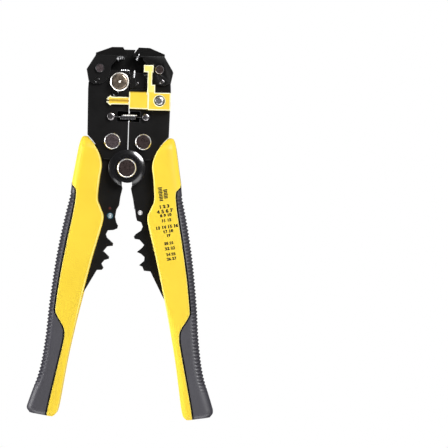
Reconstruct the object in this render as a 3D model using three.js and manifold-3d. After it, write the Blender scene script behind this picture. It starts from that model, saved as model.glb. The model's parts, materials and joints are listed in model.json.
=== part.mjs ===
// Self-adjusting wire stripper with crimping dies and a wire cutter, in millimetres.
// The tool lies on its back: +Y runs from the handles to the jaws, +Z faces up.
// The origin is on the main pivot's axis, at the rear rivet head's face.
// Every height below called a level is measured from the mid-plane between front and rear.
import * as THREE from "three";
import { mergeVertices } from "three/addons/utils/BufferGeometryUtils.js";
import Module from "manifold-3d";

const wasm = await Module();
wasm.setup();

const LEFT = -1;
const RIGHT = 1;

// levels of the stacked plates, front side; the rear side mirrors them
const MID_Z = 10;
const GAP = 0.3;
const CORE = [0.15, 3.0];
const HEAD = [3.3, 5.1];
const EAR = [5.4, 6.9];
const DISH = [5.4, 8.2];
const DISH_FLOOR = 7.0;
const GRIP_HALF = 10;
const POCKET_HALF = 3.3;

// pivots
const LINK = [8.6, 14.75];
const SHOULDER = [16.5, 55];
const TAIL_PIN = [18, 48.5];
const SPRING_POST = [9.7, 28.45];
const KNOB = [-5.3, 47.7];
const STOP_SCREW = [17, 37.7];
const JAW_SWING = 22;
const HEAD_SPLIT = 0.37;

// radii
const SHANK_R = 4.0;
const BOSS_R = 8.0;
const DISH_R = 10.3;
const MAIN_HEAD_R = 5.3;
const LINK_HEAD_R = 4.5;
const LINK_SHANK_R = 2.6;
const SHOULDER_HEAD_R = 2.5;
const SHOULDER_SHANK_R = 1.6;
const PIVOT_RELIEF_R = 7.6;
const KNOB_R = 5.2;
const ADJUSTER_SHAFT_R = 1.5;
const COIL_R = 2.3;
const COIL_LEVEL = 3.6;
const COIL_HALF = 5.6;

const STEEL = { color: 0x17171b, roughness: 0.45, metalness: 0.8 };
const ZINC = { color: 0xb9bbc0, roughness: 0.3, metalness: 0.95 };
const BRONZE = { color: 0x8f7a56, roughness: 0.35, metalness: 0.9 };
const SPRING = { color: 0x3a3a3d, roughness: 0.3, metalness: 0.9 };
const YELLOW = { color: 0xffdd46, roughness: 0.5, metalness: 0 };
const GREY = { color: 0x4b4955, roughness: 0.75, metalness: 0 };
const YELLOW_STOP = { color: 0xfbe04c, roughness: 0.35, metalness: 0 };

const tool = new THREE.Group();
tool.position.z = MID_Z;

// ---- solids -------------------------------------------------------------

function solid(geometry) {
  const bare = geometry.index ? geometry.toNonIndexed() : geometry.clone();
  bare.deleteAttribute("normal");
  bare.deleteAttribute("uv");
  const merged = mergeVertices(bare, 1e-4);
  return new wasm.Manifold(new wasm.Mesh({
    numProp: 3,
    vertProperties: new Float32Array(merged.attributes.position.array),
    triVerts: new Uint32Array(merged.index.array),
  }));
}

function part(name, body, look) {
  const mesh = body.getMesh();
  const geometry = new THREE.BufferGeometry();
  geometry.setAttribute("position", new THREE.BufferAttribute(new Float32Array(mesh.vertProperties), 3));
  geometry.setIndex(new THREE.BufferAttribute(new Uint32Array(mesh.triVerts), 1));
  geometry.computeVertexNormals();
  const result = new THREE.Mesh(geometry, new THREE.MeshStandardMaterial(look));
  result.name = name;
  tool.add(result);
}

function outline(side, points) {
  return new THREE.Shape(points.map(([x, y]) => new THREE.Vector2(side * x, y)));
}

function plate(shape, [low, high]) {
  const options = { depth: high - low, bevelEnabled: false, curveSegments: 3 };
  const geometry = new THREE.ExtrudeGeometry(shape, options);
  geometry.translate(0, 0, low);
  return solid(geometry);
}

function disc([x, y], radius, [low, high], sides = 24) {
  const geometry = new THREE.CylinderGeometry(radius, radius, high - low, sides);
  geometry.rotateX(Math.PI / 2);
  geometry.translate(x, y, (low + high) / 2);
  return solid(geometry);
}

function block([x0, x1], [y0, y1], [z0, z1]) {
  const geometry = new THREE.BoxGeometry(x1 - x0, y1 - y0, z1 - z0);
  geometry.translate((x0 + x1) / 2, (y0 + y1) / 2, (z0 + z1) / 2);
  return solid(geometry);
}

// a turned piece about a Z axis, from [radius, level] pairs that start and end on the axis
function turned([x, y], profile, sides = 28) {
  const geometry = new THREE.LatheGeometry(profile.map(([r, z]) => new THREE.Vector2(r, z)), sides);
  geometry.rotateX(Math.PI / 2);
  geometry.translate(x, y, 0);
  return solid(geometry);
}

function place(side, [x, y]) {
  return [side * x, y];
}

function rear([low, high]) {
  return [-high, -low];
}

// joins a headed rivet from its rear face to its front face
function rivet(centre, shankR, headR, inner, outer) {
  return disc(centre, shankR, [-inner - 0.2, inner + 0.2])
    .add(disc(centre, headR, [inner, outer], 28))
    .add(disc(centre, headR, [-outer, -inner], 28));
}

function turnedAbout([x, y], degrees, body) {
  return body.translate([-x, -y, 0]).rotate([0, 0, degrees]).translate([x, y, 0]);
}

// ---- handles --------------------------------------------------------------

// inner edge of each handle's core plate below the pivot, with the crimping dies, for x > 0
const LEFT_DIES = [
  [3.2, -8.1], [2.45, -11.2], [3.45, -15.6], [4, -20.5], [5.5, -23.2], [6.05, -27.2], [5.3, -30.2],
  [4.3, -32], [4.7, -33.6], [6.8, -34.5], [9.9, -34.8], [10.9, -37], [10.2, -38.8],
  [6.7, -41.8], [6.9, -43.3], [9.9, -43.7], [12, -46.3], [8.7, -49.4], [8.9, -50.6],
  [11.4, -51.4], [12.9, -53.4], [11.7, -55.6], [12.5, -56.8], [15.3, -56.9], [18.9, -63.3], [26, -76],
];
const RIGHT_DIES = [
  [3.4, -8.1], [2.45, -11.2], [3.4, -15.4], [4.9, -21.6], [5.7, -26.9], [6.4, -29], [8.6, -29.7],
  [9.6, -32.1], [8.7, -34.3], [5.8, -36.4], [4.8, -37.8], [5.4, -39.1], [8, -39.4],
  [10.7, -42.3], [9.4, -44], [6.7, -46.3], [9, -47.2], [11.1, -49], [10.9, -51.1],
  [8.2, -53.6], [10.1, -54.4], [11, -56.6], [14.6, -56.9], [21.1, -69.4], [26, -78],
];
const TANG_OUTER = [
  [27.5, -84.5], [31.5, -84.5], [26.8, -52], [22, -20], [20.5, 0], [19.3, 9.5], [16.8, 17],
];
const TANG_SHOULDER = [[12.5, 21], [2.8, 19.5], [2.3, 12], [2.3, 5]];
const ARM = [[16.8, 17], [16.4, 30], [15.7, 44], [15.7, 49.5], [12.6, 49.5], [12.2, 30], [12.2, 18]];
const CORE_RIVET = { [LEFT]: [8.7, -26.6], [RIGHT]: [7.9, -24.4] };
const TANG_RIVET = [24.5, -60];

function corePlate(side, dies, level, holdsPivot) {
  let body = plate(outline(side, [...dies, ...TANG_OUTER, ...TANG_SHOULDER]), level);
  body = body.add(disc(place(side, LINK), 5.6, level));
  if (holdsPivot) {
    body = body.add(disc([0, 0], BOSS_R, level, 40)).subtract(disc([0, 0], SHANK_R + GAP, [-9, 9]));
  } else {
    body = body.subtract(disc([0, 0], BOSS_R + 0.4, [-9, 9], 40));
  }
  if (level[0] < 0) {
    body = body.add(plate(outline(side, ARM), level));
  }
  return body
    .subtract(disc(place(side, LINK), LINK_SHANK_R + GAP, [-9, 9]))
    .subtract(disc(place(side, CORE_RIVET[side]), 1.3, [-9, 9], 16))
    .subtract(disc(place(side, TANG_RIVET), 2.0, [-9, 9], 16));
}

const CUTTER_OUTLINE = [[3, -11.9], [6.2, -11.9], [8.2, -22.6], [4.6, -22.6]];
const CUTTER_SEAT = [[1, -11.6], [6.5, -11.6], [8.6, -22.9], [3, -22.9]];

function handles() {
  const leftFront = corePlate(LEFT, LEFT_DIES, CORE, true);
  const leftRear = corePlate(LEFT, LEFT_DIES, rear(CORE), false);
  const seat = plate(outline(RIGHT, CUTTER_SEAT), [-1.6, 1.6]);
  const rightFront = corePlate(RIGHT, RIGHT_DIES, CORE, false).subtract(seat);
  const rightRear = corePlate(RIGHT, RIGHT_DIES, rear(CORE), true).subtract(seat);
  part("left_core_plate_front", leftFront, STEEL);
  part("left_core_plate_rear", leftRear, STEEL);
  part("right_core_plate_front", rightFront, STEEL);
  part("right_core_plate_rear", rightRear, STEEL);
  part("cutter_blade", plate(outline(RIGHT, CUTTER_OUTLINE), [-1.3, 1.3]), ZINC);
  for (const [side, word] of [[LEFT, "left"], [RIGHT, "right"]]) {
    const eyelet = disc(place(side, CORE_RIVET[side]), 1.0, [-3.0, 3.0], 16)
      .subtract(disc(place(side, CORE_RIVET[side]), 0.5, [-4, 4], 12));
    part(`${word}_core_rivet`, eyelet, ZINC);
    part(`${word}_tang_rivet`, disc(place(side, TANG_RIVET), 1.7, [-3.0, 3.0], 16), ZINC);
    part(`${word}_link_rivet`, rivet(place(side, LINK), LINK_SHANK_R, LINK_HEAD_R, 5.4, 7.0), ZINC);
  }
}

// the grip's outer edge, its inner edge and the seam between its two rubbers, for x > 0
const GRIP_TIP = [22.4, 17.4];
const GRIP_TOP_OUTER = [[25.2, 17], [26.7, 13], [27.8, 7], [28.9, 0], [30.1, -7.5], [30.3, -9.2]];
const GRIP_OUTER = [
  [31, -15], [34.5, -31], [38, -51], [40.9, -75], [42.6, -95], [45.4, -113], [51.8, -133.5],
];
const OVERLAY_NOSE = [30.7, -10];
const SEAM = [
  [30.4, -9.7], [27.9, -13.5], [28.8, -22.5], [32, -40], [35.2, -59], [37.3, -77], [36.9, -82.5],
  [32.6, -89.5], [32.2, -94], [35.7, -112], [39.2, -129], [41, -138.6],
];
const GRIP_INNER = [
  [34.2, -133.4], [30, -107], [26.5, -89], [22.2, -69], [17.5, -49.2], [13.9, -35.7], [12.1, -27.5],
  [14, -22], [15.7, -17], [14.9, -6], [14, 1.5], [15.6, 7.8], [18.8, 13.2], [20.9, 15.6],
];
const GRIP_FOOT = { outer: [50, -137], inner: [37.4, -139], corner: [35.2, -137] };
// the hollow that takes the core plates' tang, for x > 0
const POCKET_OUTER = [[27.1, -85], [32, -85], [27.3, -52], [22.5, -20], [21, 0], [19.8, 10], [17.3, 20]];

function along(shape, side, points, shift = 0) {
  shape.splineThru(points.map(([x, y]) => new THREE.Vector2(side * (x + shift), y)));
}

function grips(side, word, dies) {
  const pocketInner = dies.map(([x, y]) => [x - 0.6, y]).filter(([, y]) => y < -56);
  const pocketOutline = outline(side, [[0, 22], [0, -56], ...pocketInner, ...POCKET_OUTER]);
  const pocket = plate(pocketOutline, [-POCKET_HALF, POCKET_HALF]);
  const foot = (name) => [side * GRIP_FOOT[name][0], GRIP_FOOT[name][1]];
  const inner = new THREE.Shape();
  inner.moveTo(side * GRIP_TIP[0], GRIP_TIP[1]);
  along(inner, side, GRIP_TOP_OUTER);
  along(inner, side, SEAM, -0.17);
  inner.lineTo(...foot("inner"));
  inner.lineTo(...foot("corner"));
  along(inner, side, GRIP_INNER);
  part(`${word}_grip_sleeve`, plate(inner, [-GRIP_HALF, GRIP_HALF]).subtract(pocket), YELLOW);

  const outer = new THREE.Shape();
  outer.moveTo(side * OVERLAY_NOSE[0], OVERLAY_NOSE[1]);
  along(outer, side, GRIP_OUTER);
  outer.lineTo(...foot("outer"));
  const [seamEnd, ...seamUpward] = [...SEAM].reverse().map(([x, y]) => [x + 0.17, y]);
  outer.lineTo(side * seamEnd[0], seamEnd[1]);
  along(outer, side, seamUpward.slice(0, -1));
  part(`${word}_grip_overlay`, plate(outer, [0.3 - GRIP_HALF, GRIP_HALF - 0.3]), GREY);
}

// ---- main pivot -------------------------------------------------------------

function mainPivot() {
  const notch = block([-3.1, 3.1], [-12, -7.4], [-9, 9]);
  const shankHole = disc([0, 0], SHANK_R + GAP, [-9, 9]);
  const dish = turned([0, 0], [
    [0, DISH[0]], [DISH_R, DISH[0]], [8.9, DISH[1] - 0.2], [8.2, DISH[1]], [7.4, DISH[1] - 0.2],
    [6.9, DISH_FLOOR], [0, DISH_FLOOR],
  ], 40).subtract(shankHole).subtract(notch);
  part("pivot_dish_front", dish, STEEL);
  part("pivot_dish_rear", dish.mirror([0, 0, 1]), STEEL);
  const spacer = disc([0, 0], 5.5, HEAD).subtract(shankHole);
  part("pivot_spacer_front", spacer, ZINC);
  part("pivot_spacer_rear", spacer.mirror([0, 0, 1]), ZINC);
  part("main_rivet", rivet([0, 0], SHANK_R, MAIN_HEAD_R, DISH_FLOOR + GAP, MID_Z), ZINC);
}

// ---- head halves --------------------------------------------------------------

// from the pivot relief round the link, up the outer edge to the shoulder, for x > 0
const HEAD_OUTER = [
  [6.4, 4.6], [13.1, 4.9], [15, 7.9], [16.6, 10.7], [18.1, 13.2], [20.1, 15.6], [22.5, 18.1], [22.9, 43.6],
  [22.7, 47.5], [21.5, 47.8], [19.2, 46.5], [18.9, 46.1], [16.4, 46.8], [16.4, 50.2], [21.2, 53.4],
  [20.7, 57.6], [16.5, 60],
];

function headPlate(side, level, top) {
  return plate(outline(side, [[HEAD_SPLIT, 4], ...HEAD_OUTER, ...top]), level)
    .subtract(disc([0, 0], PIVOT_RELIEF_R, [-9, 9], 32))
    .subtract(disc(place(side, LINK), LINK_SHANK_R + GAP, [-9, 9]))
    .subtract(disc(place(side, SHOULDER), SHOULDER_SHANK_R + GAP, [-9, 9], 16))
    .subtract(disc(place(side, SPRING_POST), 1.5, [-9, 9], 16));
}

const SPRING_WINDOW = [[-6.3, 6.3], [25.8, 31.6], [-9, 9]];
const KNOB_HOLE = disc(KNOB, ADJUSTER_SHAFT_R + GAP, [-9, 9], 16);
const LOBE_PIN = [-7.6, 41.6];
const HEAD_SPACER = [20.9, 30];
const STOP_SLOT = [[11.9, 19.1], [36.2, 39.2], [-9, 9]];
// the left rear plate's tongue: it closes the mouth and the upper split from behind, so the right rear
// plate stands back from it by REAR_STEP
const TONGUE_FOOT = 38.5;
const TONGUE_REACH = 1.5;
const REAR_STEP = [[0, TONGUE_REACH + GAP], [TONGUE_FOOT - GAP, 60], [-9, 0]];
const TONGUE = [
  [-13.5, 56.5], [-12.5, 59], [-12, 65.6], [-10.4, 66.3], [2.5, 66.3], [1.5, 63.8], [2.5, 63.8], [3.9, 66.3],
  [9.6, 66.3], [11, 64.9], [10.9, 52.7], [TONGUE_REACH, 52.7], [TONGUE_REACH, TONGUE_FOOT],
  [-HEAD_SPLIT - 0.1, TONGUE_FOOT], [-HEAD_SPLIT - 0.1, 56.5],
];
const LOBE = [5, 45];

function headHalves() {
  const windowCut = block(...SPRING_WINDOW);
  const lobePinHole = disc(LOBE_PIN, 1.7, [-9, 9], 12);
  const stopSlot = block(...STOP_SLOT);
  const blockNotch = block([-1, 9.4], [44.1, 60], [0, 9]);
  const lowTop = [[12.2, 58], [12, 54], [HEAD_SPLIT, 54]];
  const leftRearTop = [[13, 58.8], [12.2, 57], [HEAD_SPLIT, 57]];
  const rightRearTop = [[13, 58.8], [12.2, 57], [11.5, 52.4], [HEAD_SPLIT, 52.4]];
  const leftPlate = (level, top) => headPlate(LEFT, level, top).subtract(KNOB_HOLE).subtract(lobePinHole);
  const rightFront = headPlate(RIGHT, HEAD, lowTop)
    .subtract(windowCut).subtract(stopSlot).subtract(blockNotch);
  const tongue = plate(outline(1, TONGUE), rear(HEAD));
  part("left_head_plate_front", leftPlate(HEAD, lowTop).subtract(windowCut), STEEL);
  part("right_head_plate_front", rightFront, STEEL);
  part("left_head_plate_rear", leftPlate(rear(HEAD), leftRearTop).add(tongue), STEEL);
  const rightRear = headPlate(RIGHT, rear(HEAD), rightRearTop).subtract(block(...REAR_STEP));
  part("right_head_plate_rear", rightRear, STEEL);
  for (const [side, word] of [[LEFT, "left"], [RIGHT, "right"]]) {
    part(`${word}_head_spacer`, disc(place(side, HEAD_SPACER), 1.3, [-3.0, 3.0], 16), ZINC);
    const bush = disc(place(side, SHOULDER), 3.6, [-3.0, 3.0])
      .subtract(disc(place(side, SHOULDER), 1.9, [-4, 4], 16));
    part(`${word}_shoulder_bush`, bush, ZINC);
  }
}

// ---- what the left half carries ---------------------------------------------

function leftHalfFittings() {
  part("left_lower_jaw_block", block([-11, -0.4], [50.6, 52.2], [-3.0, 3.0]), STEEL);
  part("lower_grip_insert", serrated([-5, -0.4], 52.5, 54.3, 55, [-2.9, 2.9]), ZINC);
  const lobe = disc(LOBE, 6.4, [-1.4, 0.6], 32)
    .add(block([-9.6, 3], [38.8, 44.6], [-1.4, 0.6]))
    .subtract(disc(LOBE, 1.5, [-9, 9], 16))
    .subtract(disc(LOBE_PIN, 1.7, [-9, 9], 12));
  part("guide_lobe", lobe, STEEL);
  const lobeRivet = disc(LOBE, 1.2, [-1.4, 1.0], 16).add(disc(LOBE, 2.3, [0.9, 1.5], 20));
  part("guide_lobe_rivet", lobeRivet, ZINC);
  part("guide_lobe_pin", disc(LOBE_PIN, 1.4, [-5.0, 5.0], 12), STEEL);
  const post = place(LEFT, SPRING_POST);
  const screw = disc(post, 1.2, [0, 6.1], 16).add(disc(post, 2.1, [6.0, 7.0], 20))
    .subtract(block([post[0] - 1.5, post[0] + 1.5], [post[1] - 0.25, post[1] + 0.25], [6.5, 8]));
  part("spring_screw", screw, ZINC);
}

// a bar whose upper edge is a saw-tooth, drawn in X and Y and extruded along Z
function serrated([x0, x1], bottom, root, tip, level) {
  const teeth = 5;
  const pitch = (x1 - x0) / teeth;
  const points = [[x0, bottom]];
  for (let n = 0; n < teeth; n += 1) {
    points.push([x0 + n * pitch, root], [x0 + (n + 0.5) * pitch, tip]);
  }
  points.push([x1, root], [x1, bottom]);
  return plate(outline(1, points), level);
}

// the coil with its left hook, and the right hook that stretches it
function spring() {
  const coil = new THREE.CylinderGeometry(COIL_R, COIL_R, 2 * COIL_HALF, 16);
  coil.rotateZ(Math.PI / 2);
  coil.translate(0, SPRING_POST[1], COIL_LEVEL);
  part("return_spring", solid(coil), SPRING);
  for (const [side, name] of [[LEFT, "spring_hook_left"], [RIGHT, "spring_hook_right"]]) {
    const post = place(side, SPRING_POST);
    const loop = disc(post, 2.0, [5.4, 5.8], 20);
    const leg = block([Math.min(side * 5.9, side * 8.2), Math.max(side * 5.9, side * 8.2)],
      [post[1] - 0.35, post[1] + 0.35], [5.4, 5.8]);
    part(name, loop.add(leg).subtract(disc(post, 1.5, [-9, 9], 16)), SPRING);
  }
}

function adjuster() {
  const knob = turned(KNOB, [
    [0, 3.4], [ADJUSTER_SHAFT_R, 3.4], [ADJUSTER_SHAFT_R, 7.2], [KNOB_R, 7.2], [KNOB_R, 9.2],
    [KNOB_R - 0.4, 9.6], [KNOB_R - 0.9, 9.6], [KNOB_R - 1.1, 9.3], [0, 9.3],
  ]);
  part("adjuster_knob", knob, BRONZE);
  part("adjuster_cam", disc([KNOB[0] + 0.3, KNOB[1]], 2.2, [0.9, 3.1], 20), ZINC);
  const washer = disc(KNOB, 3.4, [5.4, 6.9], 24).subtract(disc(KNOB, ADJUSTER_SHAFT_R + GAP, [0, 9], 16));
  part("adjuster_washer", washer, ZINC);
}

// ---- what the right half carries ----------------------------------------------

function rightHalfFittings() {
  const jawBlock = block([0.3, 9.1], [44.4, 53], [1.8, 5.1])
    .add(block([9, 11.6], [46, 52], [1.8, 3.0]))
    .subtract(block([1.9, 3.2], [45.7, 60], [1.5, 6]))
    .subtract(disc([4.4, 47.3], 0.9, [0, 9], 12));
  part("right_lower_jaw_block", jawBlock, STEEL);
  const blade = block([2.2, 2.9], [46, 54.6], [2.1, 4.8]).add(block([2.2, 2.9], [52.2, 54.6], [-2.8, 2.3]));
  part("lower_blade", blade, ZINC);
  part("blade_screw", disc([4.4, 47.3], 0.6, [2.1, 5.3], 12), ZINC);
  const post = place(RIGHT, SPRING_POST);
  part("spring_pin", disc(post, 1.2, [0, 6.1], 16).add(disc(post, 1.9, [6.0, 7.0], 20)), ZINC);
}

function wireStop() {
  const bar = plate(outline(1, [
    [0.5, 35.2], [-9.6, 35.2], [-10.2, 34.4], [-12.5, 36.6], [-10.6, 37.3], [-12.5, 38], [-10.2, 40.2],
    [-9.6, 39.4], [0.5, 39.4],
  ]), [5.7, 7.0]);
  const leftBlock = block([0.2, 11], [33, 42.4], [5.7, 8.4]);
  const rightBlock = block([10.7, 23.1], [32.5, 42.2], [5.7, 9.4]);
  const finger = block([10.1, 12.6], [41.5, 57], [7.3, 9.4])
    .add(block([12, 14.4], [41.5, 46.5], [7.3, 9.4]))
    .add(block([7.9, 13.2], [53.4, 57.3], [7.3, 9.4]));
  const stop = bar.add(leftBlock).add(rightBlock).add(finger)
    .subtract(disc(STOP_SCREW, 1.5, [0, 12], 16))
    .subtract(disc(STOP_SCREW, 2.9, [8.6, 12], 20));
  part("wire_stop", stop, YELLOW_STOP);
  const [screwX, screwY] = STOP_SCREW;
  const screw = disc(STOP_SCREW, 1.2, [2.2, 9], 16).add(disc(STOP_SCREW, 2.6, [8.9, 10], 20))
    .subtract(block([screwX - 1.6, screwX + 1.6], [screwY - 0.3, screwY + 0.3], [9.5, 11]))
    .subtract(block([screwX - 0.3, screwX + 0.3], [screwY - 1.6, screwY + 1.6], [9.5, 11]));
  part("stop_screw", screw, ZINC);
  const nut = disc(STOP_SCREW, 2.7, [0.6, 3.0], 6).subtract(disc(STOP_SCREW, 1.5, [0, 4], 12));
  part("stop_nut", nut, ZINC);
}

// ---- upper jaws -----------------------------------------------------------------

const EAR_OUTLINE = [
  [19.1, 62.2], [23.9, 54.3], [22.6, 47.8], [19.5, 46.2], [14.6, 46.8], [11.1, 50.5], [10.4, 56.5],
  [7.4, 60.1], [7.4, 62.2],
];
const ROOF_OUTLINE = [[19.1, 61.8], [19.1, 63.7], [10.5, 67.5], [4.4, 67.6], [1.9, 63.5], [1.9, 61.8]];
const ROOF_SECTION = [[61.8, 6.9], [62.3, 6.9], [67.6, -2.4], [66, -2.4], [61.8, 5.0]];
// where each insert sits when the jaw is closed: X, Y and level
const INSERT_SEAT = {
  [LEFT]: [[-6.4, -1.6], [53, 58], [-3.3, 4.8]],
  [RIGHT]: [[1.8, 3.3], [53, 58], [-3.3, 4.8]],
};

function upperJaw(side, word) {
  const shankHole = disc(place(side, SHOULDER), SHOULDER_SHANK_R + GAP, [-9, 9], 16);
  const pinHole = disc(place(side, TAIL_PIN), 1.4, [-9, 9], 16);
  const ear = plate(outline(side, EAR_OUTLINE), EAR);
  const section = new THREE.Shape(ROOF_SECTION.map(([y, z]) => new THREE.Vector2(y, z)));
  const sweep = new THREE.ExtrudeGeometry(section, { depth: 60, bevelEnabled: false });
  // the section's Y and Z axes were drawn as X and Y: this turns them in place, sweeping along X
  sweep.applyMatrix4(new THREE.Matrix4().makeBasis(
    new THREE.Vector3(0, 1, 0), new THREE.Vector3(0, 0, 1), new THREE.Vector3(1, 0, 0)));
  sweep.translate(-30, 0, 0);
  const roof = solid(sweep).intersect(plate(outline(side, ROOF_OUTLINE), [-9, 9]));
  const seat = turnedAbout(place(side, SHOULDER), -side * JAW_SWING, block(...INSERT_SEAT[side]));
  const channel = ear.add(roof).subtract(shankHole).subtract(pinHole).subtract(seat);
  part(`${word}_upper_jaw`, channel, STEEL);
  const rearEar = plate(outline(side, EAR_OUTLINE.slice(0, -1)), rear(EAR));
  part(`${word}_jaw_rear_ear`, rearEar.subtract(shankHole).subtract(pinHole), STEEL);
  part(`${word}_tail_pin`, disc(place(side, TAIL_PIN), 1.1, [-6.8, 7.0], 16), ZINC);
  const shoulder = rivet(place(side, SHOULDER), SHOULDER_SHANK_R, SHOULDER_HEAD_R, 7.2, 8.3);
  part(`${word}_shoulder_rivet`, shoulder, ZINC);
}

function jawInserts() {
  // both are shaped where they meet the lower jaw, then swung open about the shoulder
  const toothTips = [0, 1, 2, 3, 4].flatMap((n) => [[-5.6 + 0.8 * n, 55.5], [-5.2 + 0.8 * n, 56.2]]);
  const grip = plate(outline(1, [
    [-6, 57.6], [-6, 56.2], ...toothTips, [-2, 57.6],
  ]), [-2.9, 4.4]);
  part("upper_grip_insert", turnedAbout(place(LEFT, SHOULDER), JAW_SWING, grip), ZINC);
  const blade = block([2.2, 2.9], [55, 57.6], [-2.8, 4.4]);
  part("upper_blade", turnedAbout(place(RIGHT, SHOULDER), -JAW_SWING, blade), ZINC);
}

handles();
grips(LEFT, "left", LEFT_DIES);
grips(RIGHT, "right", RIGHT_DIES);
mainPivot();
headHalves();
leftHalfFittings();
spring();
adjuster();
rightHalfFittings();
wireStop();
upperJaw(LEFT, "left");
upperJaw(RIGHT, "right");
jawInserts();

export default tool;
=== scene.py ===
"""Looks of the self-adjusting wire stripper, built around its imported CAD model.

Lengths are in millimetres in the model's own frame and turned into metres when a mesh is made. A level is a
height above or below the mid-plane between the tool's front and rear. Left is the side of negative X.
"""

import json
import math

import bmesh
import bpy
import numpy as np
from mathutils import Matrix, Vector
from mathutils.bvhtree import BVHTree

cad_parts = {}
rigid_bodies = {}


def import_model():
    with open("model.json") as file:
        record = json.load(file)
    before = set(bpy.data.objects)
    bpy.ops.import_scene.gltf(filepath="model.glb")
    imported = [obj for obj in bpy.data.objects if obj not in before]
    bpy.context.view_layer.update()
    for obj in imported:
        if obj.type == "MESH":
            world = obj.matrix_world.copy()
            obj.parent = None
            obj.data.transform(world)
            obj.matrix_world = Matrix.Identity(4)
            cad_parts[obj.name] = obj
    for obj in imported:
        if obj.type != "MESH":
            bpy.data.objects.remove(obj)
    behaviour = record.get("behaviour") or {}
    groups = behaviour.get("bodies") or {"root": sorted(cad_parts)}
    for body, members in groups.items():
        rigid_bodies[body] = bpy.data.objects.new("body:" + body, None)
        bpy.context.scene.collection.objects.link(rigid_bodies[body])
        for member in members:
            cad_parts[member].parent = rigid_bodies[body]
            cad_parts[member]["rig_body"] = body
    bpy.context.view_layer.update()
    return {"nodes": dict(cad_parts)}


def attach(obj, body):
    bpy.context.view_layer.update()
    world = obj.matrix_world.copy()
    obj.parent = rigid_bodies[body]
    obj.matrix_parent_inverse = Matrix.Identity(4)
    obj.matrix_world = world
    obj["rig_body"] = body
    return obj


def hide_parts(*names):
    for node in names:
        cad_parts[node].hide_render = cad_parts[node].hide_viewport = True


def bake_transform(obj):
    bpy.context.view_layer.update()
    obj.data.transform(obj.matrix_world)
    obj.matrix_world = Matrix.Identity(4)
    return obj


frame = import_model()

MM = 0.001
MID_Z = 10.0
LEFT, RIGHT = -1, 1
WORD = {LEFT: "left", RIGHT: "right"}

# X and Y of the CAD model's pivots and fastenings: of the first three, the right one of a pair
LINK = (8.6, 14.75)
SHOULDER = (16.5, 55.0)
SPRING_POST = (9.7, 28.45)
KNOB = (-5.3, 47.7)
STOP_SCREW = (17.0, 37.7)
LEFT_EYELET = (-8.7, -26.6)
RIGHT_EYELET = (7.9, -24.4)


# ---- materials ------------------------------------------------------------------

NOISE_ROUGHNESS = 0.6
# strength and distance in mm of the bumps that each texture makes
DRIFT_BUMP = (0.15, 0.05)
RING_BUMP = (0.12, 0.02)
SPOT_BUMP = (0.1, 0.02)
SPOT_SCALE = 900.0
# radians that a ring wave turns through in each metre, at a scale of 1
WAVE_RATE = 20.0


def node(tree, kind, inputs=None, **settings):
    made = tree.nodes.new(kind)
    for key, value in settings.items():
        setattr(made, key, value)
    for key, value in (inputs or {}).items():
        made.inputs[key].default_value = value
    return made


def link(tree, source, output, target, socket):
    tree.links.new(source.outputs[output], target.inputs[socket])


def ramp(tree, source, output, stops):
    """A colour ramp over an output, through (place, colour) pairs."""
    made = tree.nodes.new("ShaderNodeValToRGB")
    while len(made.color_ramp.elements) < len(stops):
        made.color_ramp.elements.new(0.5)
    for element, (place, colour) in zip(made.color_ramp.elements, stops):
        element.position = place
        element.color = (*colour, 1.0)
    link(tree, source, output, made, "Fac")
    return made


def grey(value):
    return (value, value, value)


def surface(name, metallic=0.0, specular=0.5):
    """A new material with a principled shader, its tree, its shader and its object coordinates."""
    material = bpy.data.materials.new(name)
    material.use_nodes = True
    tree = material.node_tree
    shader = tree.nodes["Principled BSDF"]
    shader.inputs["Metallic"].default_value = metallic
    shader.inputs["Specular IOR Level"].default_value = specular
    place = tree.nodes.new("ShaderNodeTexCoord")
    return material, tree, shader, place


def noise(tree, place, scale, detail=4.0, stretch=None):
    made = node(tree, "ShaderNodeTexNoise",
                {"Scale": scale, "Detail": detail, "Roughness": NOISE_ROUGHNESS})
    if stretch:
        mapping = node(tree, "ShaderNodeMapping", {"Scale": stretch})
        link(tree, place, "Object", mapping, "Vector")
        link(tree, mapping, "Vector", made, "Vector")
    else:
        link(tree, place, "Object", made, "Vector")
    return made


def bump(tree, shader, heights):
    """Adds one bump node after another, from (node, output, strength, distance in mm)."""
    last = None
    for source, output, strength, distance in heights:
        made = node(tree, "ShaderNodeBump", {"Strength": strength, "Distance": distance * MM})
        link(tree, source, output, made, "Height")
        if last:
            link(tree, last, "Normal", made, "Normal")
        last = made
    link(tree, last, "Normal", shader, "Normal")


def mottled(name, dark, light, rough, scale, grain, metallic=0.0, specular=0.5, stretch=None):
    """Colour and roughness that drift between two values, with a fine grain in the surface.

    grain is (scale, strength, distance in mm) of the finest bumps."""
    material, tree, shader, place = surface(name, metallic, specular)
    drift = noise(tree, place, scale, stretch=stretch)
    colour = ramp(tree, drift, "Fac", [(0.3, dark), (0.7, light)])
    link(tree, colour, "Color", shader, "Base Color")
    grain_scale, *grain_bump = grain
    fine = noise(tree, place, grain_scale, detail=2.0, stretch=stretch)
    low, high = rough
    sheen = ramp(tree, fine, "Fac", [(0.25, grey(low)), (0.75, grey(high))])
    link(tree, sheen, "Color", shader, "Roughness")
    bump(tree, shader, [(fine, "Fac", *grain_bump), (drift, "Fac", *DRIFT_BUMP)])
    return material


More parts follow.
